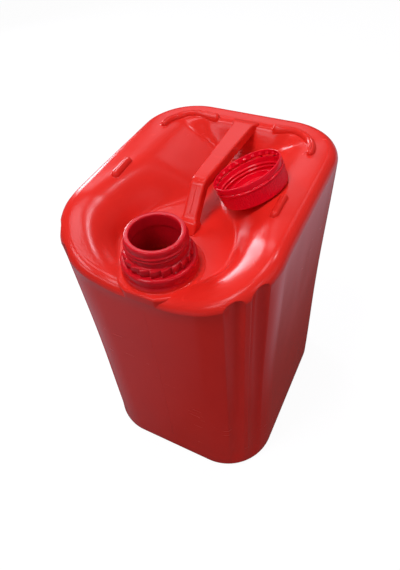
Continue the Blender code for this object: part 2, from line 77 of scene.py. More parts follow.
def round_box(places, half_a, half_b, radius):
    """Once round a rectangle with round corners, from the middle of its lower side to the right.

    A place is a share of the way round. The answer is a core point, as signed shares of the straight half
    sides, and the angle of the outward normal: the point moves along a side and the angle turns at a corner.
    """
    straight_a, straight_b, quarter = half_a - radius, half_b - radius, math.pi / 2 * radius
    side = [quarter, 2 * straight_b, quarter]
    lengths = [0, straight_a, *side, 2 * straight_a, *side, straight_a]
    knots = np.cumsum(lengths) / np.sum(lengths)
    core_a = np.interp(places, knots, [0, 1, 1, 1, 1, -1, -1, -1, -1, 0])
    core_b = np.interp(places, knots, [-1, -1, -1, 1, 1, 1, 1, -1, -1, -1])
    angle = np.radians(np.interp(places, knots, [-90, -90, 0, 0, 90, 90, 180, 180, 270, 270]))
    return core_a, core_b, angle


def closed_skin(name, grid, ring=False, start=None, end=None):
    """A mesh over a grid of points (rows, columns, 3), shaded smooth, whose columns close round.

    Each point makes a four-sided face with the next in its row and the two above them. With ring the last
    row joins the first, and a start or end point closes that row in a fan.
    """
    rows, columns = grid.shape[:2]
    index = np.arange(rows * columns).reshape(rows, columns)
    lower = index if ring else index[:-1]
    upper = np.roll(index, -1, 0) if ring else index[1:]
    corners = [lower, np.roll(lower, -1, 1), np.roll(upper, -1, 1), upper]
    faces = np.stack(corners, -1).reshape(-1, 4).tolist()
    points = grid.reshape(-1, 3)
    for tip, row, forward in ((start, index[0], False), (end, index[-1], True)):
        if tip is not None:
            apex = np.full(columns, len(points))
            points = np.vstack([points, tip])
            beside = np.roll(row, -1)
            faces += np.stack([row, beside, apex] if forward else [beside, row, apex], -1).tolist()
    mesh = bpy.data.meshes.new(name)
    mesh.from_pydata(points.tolist(), [], faces)
    mesh.shade_smooth()
    piece = bpy.data.objects.new(name, mesh)
    bpy.context.scene.collection.objects.link(piece)
    return piece


def soft_ramp(value, bend):
    """0 under -bend and the value itself over bend; between them a parabola, (value + bend)^2 / (4 bend)."""
    return np.where(value > bend, value, np.clip(value + bend, 0, 2 * bend) ** 2 / (4 * bend))


def deck_climb(x, y):
    """The deck's climb, 0 on its floor and 1 at the rims' inner edge, and the share of it left by the fall.

    Along the sides it is a soft ramp of the way past the slope's foot, measured in from the outline. Behind
    it is one that follows the round corners of the rims' inner edge, and the cube root of the sum of their
    cubes joins the two. The rims fall away with the angle round a point in front.
    """
    x = np.abs(x)
    corner_y = CORNER - CAN_DEPTH / 2
    past_x, past_y = x - CAN_WIDTH / 2 + CORNER, corner_y - y
    from_centre = np.hypot(np.maximum(past_x, 0), np.maximum(past_y, 0))
    inset = CORNER - from_centre - np.minimum(np.maximum(past_x, past_y), 0)
    at_side = ease(y, corner_y, corner_y + RIM_TAPER)
    at_corner = 1 - (1 - at_side) * (1 - ease(x, NECK_OUT, CAN_WIDTH / 2 - CORNER / 2))
    rim = NECK_RIM + (CORNER_RIM + (SIDE_RIM - CORNER_RIM) * at_side - NECK_RIM) * at_corner
    side_slope = CAN_WIDTH / 2 - SIDE_RIM - CHANNEL / 2
    slope = NECK_SLOPE + (CORNER_SLOPE + (side_slope - CORNER_SLOPE) * at_side - NECK_SLOPE) * at_corner
    side = soft_ramp(1 + (rim - inset) / slope, SIDE_BEND)
    over_side = np.maximum(DECK_CORNER + SIDE_RIM - CAN_WIDTH / 2 + x, 0)
    over_rear = np.maximum(DECK_CORNER + REAR_RIM - CAN_DEPTH / 2 + y, 0)
    at_rear = ease(np.degrees(np.arctan2(over_rear, over_side)), *REAR_TURN)
    inside_edge = DECK_CORNER - np.hypot(over_side, over_rear)
    rear = at_rear * soft_ramp(1 - inside_edge / REAR_SLOPE, REAR_BEND)
    fall = ease(np.degrees(np.arctan2(x, FALL_Y - y)), *FALL_TURN)
    return (side**3 + rear**3) ** (1 / 3), fall


def deck_height(x, y):
    """Height of the can's top: the climb c levels off into the rim as c / (1 + c^n)^(1/n), n the CREASE."""
    climb, fall = deck_climb(x, y)
    return DECK_Z + (RIM_Z - DECK_Z) * climb / (1 + climb**CREASE) ** (1 / CREASE) * fall


def drawn_in(z):
    """How far the waist draws the walls in: the square of a half sine wave up the wall."""
    share = np.clip((z - BASE_EDGE) / (RIM_Z - BASE_EDGE), 0, 1)
    return WAIST * np.sin(np.pi * share) ** 2


def flute_cut(bend, z, crest, lift=0.0):
    """Depth of the flutes, at an angle round the front corner and a height.

    Across a flute it is (1 - off^2)^1.1, with off the share of the way from its middle line to its side. Up
    the wall it grows evenly from the base, and ends at an arched top.
    """
    off = np.min([np.abs(bend - middle) for middle in FLUTES], axis=0) / FLUTE_HALF
    across = np.clip(1 - off**2, 0, 1) ** 1.1
    top = crest - FLUTE_TOP - FLUTE_ARCH * (1 - np.sqrt(across)) + lift
    share = np.clip((z - BASE_EDGE) / (RIM_Z - BASE_EDGE), 0, 1)
    return FLUTE_DEPTH * across * ease(top - z, 0.0, FLUTE_END) * (FLUTE_BASE + (1 - FLUTE_BASE) * share)


def shell_rows(depth, outline, normal, bend, wall_rows, shoulder_rows, lift=0.0):
    """Rows of the shell's wall and shoulder, moved in by depth, from the base's edge up to the crest.

    The roundings are quarter circles. From the wall the waist, the flutes and the front step are taken away.
    """
    crest_plan = outline - normal * SHOULDER
    crest = deck_height(crest_plan[:, 0], crest_plan[:, 1]) - depth
    top_radius, base_radius = SHOULDER - depth, BASE_EDGE - depth
    rows = []
    for turn in np.radians(np.linspace(90, 0, 7)[:-1]):
        inset = depth + base_radius * (1 - math.cos(turn))
        height = np.full(len(outline), depth + base_radius * (1 - math.sin(turn)))
        rows.append(np.column_stack([outline - normal * inset, height]))
    wall_top = crest - top_radius
    turns = np.radians(np.linspace(0, 90, shoulder_rows + 1))[1:]
    levels = [(0.0, BASE_EDGE + (wall_top - BASE_EDGE) * share) for share in np.linspace(0, 1, wall_rows)]
    levels += [(top_radius * (1 - math.cos(t)), wall_top + top_radius * math.sin(t)) for t in turns]
    for inset, height in levels:
        under = crest + depth - height
        waist = drawn_in(height) * ease(under, 0.0, SHOULDER)
        step = FRONT_STEP * ease(under, *STEP_UNDER) * ease(bend, *STEP_TURN)
        cut = waist + flute_cut(bend, height, crest + depth, lift) + step
        cut = cut * ease(height, BASE_EDGE, FOOT_Z)
        rows.append(np.column_stack([outline - normal * (depth + inset + cut)[:, None], height]))
    return rows


def shell_grid(columns):
    """The whole skin as one grid: underside, wall, shoulder, rim and deck to the neck, then back inside it.

    Over the deck a row lies a share of the straight way from the rim's inner edge to a circle in the neck.
    """
    half_x, half_y = CAN_WIDTH / 2, CAN_DEPTH / 2

    # Columns lie up to 3.6 times as close over the flutes as elsewhere
    fine = np.linspace(0, 1, 12001)
    bend = np.degrees(round_box(fine, half_x, half_y, CORNER)[2]) + 90
    off = np.min([np.abs(np.minimum(bend, 360 - bend) - middle) for middle in FLUTES], axis=0)
    walked = np.cumsum(1 + 2.6 * ease(off, 14.0, 7.0))
    walked -= walked[0]
    places = np.interp(np.arange(columns) / columns * walked[-1], walked, fine)
    core_x, core_y, angle = round_box(places, half_x, half_y, CORNER)
    normal = np.column_stack([np.cos(angle), np.sin(angle)])
    outline = np.column_stack([core_x * (half_x - CORNER), core_y * (half_y - CORNER)]) + CORNER * normal
    bend = np.degrees(angle) + 90
    bend = np.minimum(bend, 360 - bend)

    # The rim's inner edge is where the climb first drops below 1 on the way in, smoothed over 13 columns
    insets = np.linspace(SHOULDER + 0.001, 0.040, 150)
    plan = outline[None] - normal[None] * insets[:, None, None]
    climb = deck_climb(plan[..., 0], plan[..., 1])[0]
    edge = insets[np.argmax(climb < 1, axis=0)]
    around = (np.arange(-6, 7)[:, None] + np.arange(columns)) % columns
    edge = np.maximum(edge[around].mean(0), SHOULDER + 0.0008)
    edge_plan = outline - normal * edge[:, None]
    away = edge_plan - (0.0, NECK_Y)
    goal = (0.0, NECK_Y) + NECK_IN * away / np.linalg.norm(away, axis=1)[:, None]

    def deck_rows(depth, rim_shares, floor_shares):
        plans = [outline - normal * (SHOULDER + (edge - SHOULDER) * share)[:, None] for share in rim_shares]
        plans += [edge_plan + (goal - edge_plan) * share for share in floor_shares]
        return [np.column_stack([plan, deck_height(*plan.T) - depth]) for plan in plans]

    def flat_rows(depth):
        heights = [np.full(columns, BASE_RISE * rise + depth) for rise in STAND_RISES]
        plans = [outline - normal * inset for inset in STAND_INSETS]
        return [np.column_stack([plan, height]) for plan, height in zip(plans, heights)]

    # The rows' shares: on the deck they lie closest at the rim's inner edge
    rim_shares, floor_shares = (0.15, 0.35, 0.55, 0.72, 0.84, 0.93, 1.0), np.linspace(0, 1, 47)[1:] ** 1.7
    rows = flat_rows(0.0) + shell_rows(0.0, outline, normal, bend, wall_rows=22, shoulder_rows=26)
    rows += deck_rows(0.0, rim_shares, floor_shares)
    inside = flat_rows(WALL)[:1]
    inside += shell_rows(WALL, outline, normal, bend, wall_rows=7, shoulder_rows=13, lift=0.0020)
    inside += deck_rows(WALL, (0.4, 0.8, 1.0), floor_shares[1::2])
    return np.array(rows + inside[::-1])


class Value:
    """An output of a shader node. Python's + - and * on it add Math nodes, also with a number first."""

    def __init__(self, tree, socket=None):
        self.tree, self.socket = tree, socket

    def node(self, kind, settings=(), sockets=(), out=0):
        """Adds a node: first its settings, then the values or links of its sockets. Gives one output."""
        node = self.tree.nodes.new("ShaderNode" + kind)
        for key, setting in dict(settings).items():
            setattr(node, key, setting)
        for key, value in dict(sockets).items():
            if isinstance(value, Value):
                self.tree.links.new(value.socket, node.inputs[key])
            else:
                node.inputs[key].default_value = value
        return Value(self.tree, node.outputs[out] if node.outputs else None)

    def maths(self, operation, first, second, clamp=False):
        return self.node("Math", {"operation": operation, "use_clamp": clamp}, {0: first, 1: second})

    def __add__(self, other):
        return self.maths("ADD", self, other)

    def __sub__(self, other):
        return self.maths("SUBTRACT", self, other)

    def __mul__(self, other):
        return self.maths("MULTIPLY", self, other)

    def __rsub__(self, other):
        return self.maths("SUBTRACT", other, self)

    __radd__, __rmul__ = __add__, __mul__

    def above(self, low, high):
        """0 where the value is under low, 1 where it is over high, and a straight ramp between."""
        return self.maths("MULTIPLY", self - low, 1 / (high - low), clamp=True)

    def noise(self, scale, detail=2.0, roughness=0.5, stretch=(1.0, 1.0, 1.0)):
        """Soft noise over the piece, about 0.5 on average, with so many features to the metre."""
        place = self.node("TexCoord", out="Object")
        place = self.node("Mapping", {}, {"Vector": place, "Scale": stretch})
        sockets = {"Vector": place, "Scale": scale, "Detail": detail, "Roughness": roughness}
        return self.node("TexNoise", {}, sockets)

    def blend(self, mask, first, second):
        """The first colour where the mask is 0, the second where it is 1."""
        colours = [colour if isinstance(colour, Value) else (*colour, 1.0) for colour in (first, second)]
        return self.node("Mix", {"data_type": "RGBA"}, {0: mask, 6: colours[0], 7: colours[1]}, out=2)


def plastic(name, dark, light, roughness, grain, ripple, scuff=0.0, painted_shade=None, shade_from=0.0):
    """Moulded plastic: pigment that varies a little, a fine grain, slow ripples in the skin, dull scuffs.

    Grain and ripple are heights in metres. A painted shade, if given, darkens the colour to it over 3 mm
    above the height given with it.
    """
    material = bpy.data.materials.new(name)
    material.use_nodes = True
    tree = material.node_tree
    tree.nodes.clear()
    start = Value(tree)
    clouds = start.noise(14.0, 3.0, 0.55)
    specks = start.noise(900.0, 2.0, 0.6)
    waves = start.noise(26.0, 1.0, 0.4, stretch=(1.0, 1.0, 0.45))
    dimples = start.noise(420.0, 2.0, 0.5)
    scratches = start.noise(60.0, 2.0, 0.5, stretch=(0.7, 1.0, 12.0)).above(0.66, 0.74)
    rubbed = scratches * start.noise(11.0, 1.0).above(0.54, 0.70) * scuff
    colour = start.blend(clouds * 0.8 + specks * 0.2, dark, light)
    # Painted shade: above a height the colour darkens to a deeper crimson
    if painted_shade:
        height = start.node("SeparateXYZ", {}, {"Vector": start.node("TexCoord", out="Object")}, out="Z")
        colour = start.blend(height.above(shade_from, shade_from + 0.003), colour, painted_shade)
    colour = start.blend(rubbed, colour, [min(1.0, c * 1.2 + 0.03) for c in light])
    shine = roughness + (clouds - 0.5) * 0.10 + (specks - 0.5) * 0.05 + rubbed * 0.25
    slow = start.node("Bump", {}, {"Strength": 1.0, "Distance": ripple, "Height": waves})
    fine = {"Strength": 1.0, "Distance": grain, "Height": dimples + specks * 0.5, "Normal": slow}
    look = {"Base Color": colour, "Roughness": shine, "Normal": start.node("Bump", {}, fine)}
    shader = start.node("BsdfPrincipled", {}, {**look, "IOR": 1.50, "Specular IOR Level": 0.35})
    start.node("OutputMaterial", {}, {"Surface": shader})
    return material


CAN_DARK, CAN_LIGHT = (0.66, 0.015, 0.011), (0.78, 0.024, 0.015)
CAN_GRAIN = 0.00003
can_plastic = plastic(
    "can_plastic", CAN_DARK, CAN_LIGHT, roughness=0.22, grain=CAN_GRAIN, ripple=0.0006, scuff=0.4
)


def part_of_can(piece, material=can_plastic):
    """A piece of the can's one moulding: it rides with the can and takes its slot."""
    piece.data.materials.append(material)
    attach(piece, "can")
    return piece


shell_tips = (0, 0, BASE_RISE), (0, 0, BASE_RISE + WALL)
shell = closed_skin("can_shell", shell_grid(columns=560), start=shell_tips[0], end=shell_tips[1])
part_of_can(shell)
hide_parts("can_body")

# The neck stands on a low pedestal and is moulded with the shell. Up its wall follow a round flange, a
# collar of twenty saw teeth that hold the tamper band back, two turns of thread, and a flat lip that the cap
# seals on. Above the pedestal its colour turns to a painted shade, a darker crimson.
LIP_Z = 0.3026
PEDESTAL, PEDESTAL_EDGE, PEDESTAL_Z = 0.0362, 0.0022, 0.2680
PEDESTAL_PROUD = 0.00005  # how far the cut pedestal stands before the front wall
FRONT_CREST_Z = 0.2677  # the shoulder's crest in front of the neck
FLANGE, FLANGE_EDGE, FLANGE_TOP = 0.0298, 0.0021, 0.2806
FLANGE_FOOT, FOOT_FILLET = 0.0303, 0.0012
TEETH, TOOTH_ROOT, TOOTH_TIP, TOOTH_FOOT, TOOTH_TOP = 20, 0.0249, 0.0269, 0.2810, 0.2877
LIP_OUT, BORE = 0.0233, 0.0194
THREAD_FOOT, THREAD_HALF, THREAD_START = 0.2922, 0.0015, 230
THREAD_PITCH, THREAD_TURNS, THREAD_RISE = 0.0030, 2.1, 0.0009


def arc(centre, radius, first, last, count):
    """Points (r, z) of an arc in the plane through the axis, from one angle in degrees to the other."""
    turns = np.radians(np.linspace(first, last, count))
    return np.column_stack([centre[0] + radius * np.cos(turns), centre[1] + radius * np.sin(turns)])


def helix(angle, z, foot, half):
    """1 on the middle line of a thread and 0 beside it: (1 - d^2)^2 of the distance d to its nearest turn.

    The nearest turn is the whole number next to (z - foot) / pitch - angle / 360. The ends run out softly.
    """
    climb = (z - foot) / THREAD_PITCH
    nearest = np.round(climb - angle / 360)
    distance = (climb - angle / 360 - nearest) * THREAD_PITCH / half
    along = nearest + angle / 360
    ends = ease(along, 0.0, 0.06) * ease(THREAD_TURNS - along, 0.0, 0.06)
    return np.clip(1 - distance**2, 0, 1) ** 2 * ends


def neck_grid():
    """A profile of (r, z) turned round the neck's axis, with saw teeth and the thread added to r by angle.

    A tooth's r falls from its tip to its root and jumps back in the last thirtieth of its turn. In front the
    pedestal is cut flush with the can's wall: no r there is over the distance to the wall by the sine of the
    angle. The cut runs out towards the flange's foot.
    """
    shares = np.array([0.0, 0.06, 0.16, 0.28, 0.40, 0.52, 0.64, 0.76, 0.87, 0.965])
    angle = (np.arange(TEETH)[:, None] + shares).ravel() * 360 / TEETH - 90
    saw = np.interp(np.tile(shares, TEETH), [0.0, 0.06, 0.16, 0.76, 0.965], [1.0, 1.0, 0.95, 0.25, 0.0])
    thread_z = np.linspace(0.2885, 0.3005, 44)
    outside = np.vstack([
        # The pedestal, up to its rounded edge
        [(0.0312, 0.2530), (0.0340, 0.2564), (PEDESTAL, 0.2572), (PEDESTAL, 0.2592), (PEDESTAL, 0.2630)],
        arc((PEDESTAL - PEDESTAL_EDGE, PEDESTAL_Z - PEDESTAL_EDGE), PEDESTAL_EDGE, 0, 90, 9),
        # The flange, from the fillet at its foot to its rounded edge
        arc((FLANGE_FOOT + FOOT_FILLET, PEDESTAL_Z + FOOT_FILLET), FOOT_FILLET, 270, 180, 6),
        [(FLANGE_FOOT - 0.0001, 0.2702), (FLANGE_FOOT - 0.0004, 0.2712), (FLANGE_FOOT - 0.0008, 0.2722)],
        [(FLANGE - 0.0004, 0.2732), (FLANGE - 0.0001, 0.2743), (FLANGE, 0.2756), (FLANGE, 0.2770)],
        arc((FLANGE - FLANGE_EDGE, FLANGE_TOP - FLANGE_EDGE), FLANGE_EDGE, 0, 90, 11),
        # The collar at the root of its teeth
        [(0.0262, 0.28058), (0.0255, 0.2807), (TOOTH_ROOT, TOOTH_FOOT), (TOOTH_ROOT, 0.2813)],
        [(TOOTH_ROOT, 0.2840), (TOOTH_ROOT, 0.2862), (TOOTH_ROOT, 0.28735)],
        [(0.0247, 0.28765), (0.0243, TOOTH_TOP), (0.0240, 0.28785)],
        # The wall that carries the thread
        np.column_stack([np.full(len(thread_z), NECK_OUT), thread_z]),
    ])
    inside = np.vstack([
        # The lip, from its outer edge to the bore's
        [(0.02365, 0.3011), (0.02345, 0.3017), (LIP_OUT, 0.3021), (0.0231, 0.30243), (0.02275, LIP_Z)],
        [(0.0217, LIP_Z), (0.0207, LIP_Z), (0.0200, 0.30256), (0.01963, 0.3023), (BORE, 0.3018)],
        # The bore, down to where it opens under the deck
        [(BORE, 0.2995), (BORE, 0.2950), (BORE, 0.2922), (0.01948, 0.2915), (0.01968, 0.2910)],
        [(0.01975, 0.2902), (0.01975, 0.2850), (0.0198, 0.2780), (0.0199, 0.2710), (0.0201, 0.2655)],
        [(0.0206, 0.2640), (0.0216, 0.2632), (0.0240, 0.2630), (0.0280, 0.2628), (0.0302, 0.2610)],
        [(0.0308, 0.2560)],
    ])
    profile = np.vstack([outside, inside])
    radius, z = profile[:, :1], profile[:, 1:]
    is_outside = np.arange(len(profile))[:, None] < len(outside)
    on_collar = ease(z, TOOTH_FOOT - 0.00005, TOOTH_FOOT + 0.0003)
    on_collar = on_collar * ease(z, TOOTH_TOP + 0.0001, TOOTH_TOP - 0.00045) * is_outside
    radius = radius + (TOOTH_TIP - TOOTH_ROOT) * saw * on_collar
    thread = helix(angle[None] + THREAD_START, z, THREAD_FOOT, THREAD_HALF)
    radius = radius + THREAD_RISE * thread * is_outside
    turn = np.radians(angle)[None]
    step = FRONT_STEP * ease(FRONT_CREST_Z - z, *STEP_UNDER)
    wall = CAN_DEPTH / 2 + NECK_Y - drawn_in(z) - step + PEDESTAL_PROUD
    beyond = np.maximum(PEDESTAL - wall / np.maximum(-np.sin(turn), 0.5), 0)
    from_foot = np.clip((radius - FLANGE_FOOT) / (PEDESTAL - PEDESTAL_EDGE - FLANGE_FOOT), 0, 1)
    radius = radius - beyond * from_foot
    height = np.broadcast_to(z, radius.shape)
    return np.stack([radius * np.cos(turn), NECK_Y + radius * np.sin(turn), height], -1)


# The neck's plastic carries a painted shade: a darker crimson above the pedestal's top
neck_plastic = plastic(
    "neck_plastic",
    CAN_DARK,
    CAN_LIGHT,
    roughness=0.19,
    grain=CAN_GRAIN,
    ripple=0.0004,
    painted_shade=(0.58, 0.005, 0.013),
    shade_from=0.2690,
)
part_of_can(closed_skin("can_neck", neck_grid(), ring=True), neck_plastic)

# The carrying handle is a hollow bar in the same moulding. Its flat leg slants up out of the deck behind the
# neck, turns at a tight bend and runs back, widening, into the rear rim. Fillets widen its ends.
HANDLE_Z = 0.3009
BAR_HALF, BAR_EDGE = 0.00525, 0.0017  # half its height, and the radius of its long edges
BAR_WIDTHS = (0.0126, 0.0200)  # at the leg's top and at the rear rim
LEG_TOP_Y, LEG_ANGLE, BEND_RADIUS = -0.0090, math.radians(48.8), 0.0066
LEG_SUNK = 0.006  # how far the leg goes on under the deck
REAR_Y = CAN_DEPTH / 2 - REAR_RIM
END_BEFORE, END_LONG, END_DROP = 0.004, 0.018, 0.0042  # the bar's end, which dips into the rear rim
LEG_FILLET, LEG_FILLET_HIGH = 0.0020, 0.0060
REAR_FILLET, REAR_FILLET_LONG = 0.0030, 0.0065


def headings(path):
    """The unit directions along a path of points."""
    steps = np.gradient(path, axis=0)
    return steps / np.linalg.norm(steps, axis=1)[:, None]


def handle_grid():
    """A rectangle with round corners carried along the bar's middle line: up the leg, round the bend, back.

    Its half width grows evenly along the bar, and fillets add to it: the rear one t^2 of its size, the leg's
    t^3, to the half height too, with t from 0 at its start to 1 at the wall or the deck. The grid starts at
    the rear end. The middle line, which starts at the leg's foot, is given as well.
    """
    middle = HANDLE_Z - BAR_HALF
    corner = np.array([LEG_TOP_Y + math.tan(LEG_ANGLE / 2) * BAR_HALF, middle])
    reach = BEND_RADIUS * math.tan(LEG_ANGLE / 2)
    up = np.array([math.cos(LEG_ANGLE), math.sin(LEG_ANGLE)])
    foot = corner - up * ((middle - DECK_Z) / math.sin(LEG_ANGLE) + LEG_SUNK)
    leg = foot + (corner - up * reach - foot) * (np.linspace(0, 1, 30) ** 1.3)[:, None]
    turns = np.linspace(math.pi / 2 + LEG_ANGLE, math.pi / 2, 12)[1:]
    centre = np.array([corner[0] + reach, middle - BEND_RADIUS])
    bend = centre + BEND_RADIUS * np.column_stack([np.cos(turns), np.sin(turns)])
    end_y = REAR_Y - END_BEFORE
    way_back = 1 - (1 - np.linspace(0, 1, 26)[1:, None]) ** 1.5
    back = bend[-1] + (np.array([end_y, middle]) - bend[-1]) * way_back
    sink = np.linspace(0, 1, 9)[1:, None]
    end = np.column_stack([end_y + END_LONG * sink, middle - END_DROP * ease(sink, 0.0, 1.0)])
    path = np.vstack([leg, bend, back, end])
    along = headings(path)
    y, z = path[:, :1], path[:, 1:]

    # The columns are shared out as on a bar 16 mm wide with rounder corners, so that they lie close there
    core_a, core_b, angle = round_box(np.arange(52) / 52, 0.0080, BAR_HALF, 2 * BAR_EDGE)
    share = np.clip((y - LEG_TOP_Y) / (REAR_Y - LEG_TOP_Y), 0, 1)
    above_deck = np.clip((z - BAR_HALF * 0.6 - DECK_Z) / LEG_FILLET_HIGH, 0, 1)
    before_wall = np.clip((REAR_Y - y) / REAR_FILLET_LONG, 0, 1)
    leg_fillet = LEG_FILLET * (1 - above_deck) ** 3 * (y < 0)
    rear_fillet = REAR_FILLET * (1 - before_wall) ** 2
    half = (BAR_WIDTHS[0] + (BAR_WIDTHS[1] - BAR_WIDTHS[0]) * share) / 2 + leg_fillet + rear_fillet
    across = core_a * (half - BAR_EDGE) + BAR_EDGE * np.cos(angle)
    lift = core_b * (BAR_HALF + leg_fillet - BAR_EDGE) + BAR_EDGE * np.sin(angle)
    grid = np.stack([across, y - along[:, 1:] * lift, z + along[:, :1] * lift], -1)
    return grid[::-1], path


handle, middle_line = handle_grid()
handle_tips = [(0.0, *middle_line[i]) for i in (-1, 0)]
part_of_can(closed_skin("can_handle", handle, start=handle_tips[0], end=handle_tips[1]))

# Four stacking beads stand on the rims and keep the next can's base from sliding: a short one on each side
# and one bent round each rear corner. They are blown in the same skin, so their feet run out softly.
BEAD_HIGH, BEAD_HALF, BEAD_INSET = 0.0038, 0.0034, 0.0236
BEAD_RINGS = (0.02, 0.22, 0.42, 0.58, 0.71, 0.81, 0.88, 0.935, 0.97, 0.99, 1.0, 1.04, 1.12, 1.30)
SIDE_BEAD_Y = (-0.0245, -0.0045)
CORNER_BEAD_X = (0.0015, 0.012)  # how far its line runs on from the corner's arc, towards the handle
FOOT_SINK, BEAD_SINK = 0.00003, 0.0012  # how far the last ring and the closing row lie under the rim


def bead_grid(path):
    """Rings round a line on the rim, out from its middle, at shares s of its half width.

    There a bead of height h stands 0.94 h (1 - s^2.4)^0.55 proud, and 0.06 h / (1 + s^16) more makes the
    fillet at its foot. The rings are the line's two sides joined by half circles. The last is under the rim.
    """
    along = headings(path)
    side = np.column_stack([along[:, 1], -along[:, 0]])
    fan = np.linspace(0, math.pi, 14)[1:-1, None]
    head = side[-1] * np.cos(fan) + along[-1] * np.sin(fan)
    tail = -side[0] * np.cos(fan) - along[0] * np.sin(fan)
    base = np.vstack([path, np.repeat(path[-1:], len(fan), 0), path[::-1], np.repeat(path[:1], len(fan), 0)])
    out = np.vstack([side, head, -side[::-1], tail])
    share = np.array(BEAD_RINGS)[:, None]
    plan = base[None] + out[None] * (share * BEAD_HALF)[..., None]
    proud = 0.94 * np.clip(1 - share**2.4, 0, 1) ** 0.55 + 0.06 / (1 + share**16)
    z = deck_height(plan[..., 0], plan[..., 1]) + BEAD_HIGH * proud - FOOT_SINK * (share == share[-1])
    grid = np.concatenate([plan, z[..., None]], -1)
    under = grid[-1:] - (0, 0, BEAD_SINK)
    middle = np.concatenate([plan[:1], np.full((1, len(base), 1), under[..., 2].mean())], -1)
    return np.vstack([grid, under, middle])


centre_x, centre_y, corner_radius = CAN_WIDTH / 2 - CORNER, CAN_DEPTH / 2 - CORNER, CORNER - BEAD_INSET
turns = np.radians(np.linspace(0, 90, 32))
corner_line = np.vstack([
    np.column_stack([centre_x + corner_radius * np.cos(turns), centre_y + corner_radius * np.sin(turns)]),
    np.column_stack([centre_x - np.linspace(*CORNER_BEAD_X, 8), np.full(8, centre_y + corner_radius)]),
])
side_line = np.column_stack([np.full(12, CAN_WIDTH / 2 - BEAD_INSET), np.linspace(*SIDE_BEAD_Y, 12)])
for name, line in (("side_bead", side_line), ("corner_bead", corner_line)):
    for hand, sign in (("right", 1), ("left", -1)):
        path = (line * (sign, 1))[::sign]
        part_of_can(closed_skin(f"{name}_{hand}", bead_grid(path)[::-1], ring=True))

# The screw cap lies open side up beside the handle: one injection moulding in a deeper, glossier red, with
# fine grip ribs down its skirt, two turns of thread inside, and a plug seal standing on its disc.
CAP_HIGH, CAP_OUT, CAP_FLARE, CAP_WALL, CAP_DISC, CAP_EDGE = 0.0206, 0.0285, 0.0007, 0.0016, 0.0020, 0.0014
RIBS, RIB_DEPTH = 96, 0.00040
CAP_THREAD_FOOT, CAP_THREAD_HALF = 0.0055, 0.0014
PLUG_OUT, PLUG_IN, PLUG_HIGH = 0.0191, 0.0179, 0.0055
BAND_HIGH, BAND_SLIT = 0.0050, 0.0008
CAP_TILT = math.radians(25.9)
CAP_SEAT = np.array([0.04286, 0.0102, 0.28831])
CAP_DARK, CAP_LIGHT = (0.72, 0.002, 0.014), (0.84, 0.004, 0.024)

cap_plastic = plastic("cap_plastic", CAP_DARK, CAP_LIGHT, roughness=0.20, grain=0.00001, ripple=0.00015)


def seated(radius, angle, z):
    """Points of a radius, angle and height on the cap's own axis, tilted towards the handle and seated."""
    x, y, z = np.broadcast_arrays(radius * np.cos(angle), radius * np.sin(angle), z)
    cos, sin = math.cos(CAP_TILT), math.sin(CAP_TILT)
    return np.stack([x * cos - z * sin, y, x * sin + z * cos], -1) + CAP_SEAT


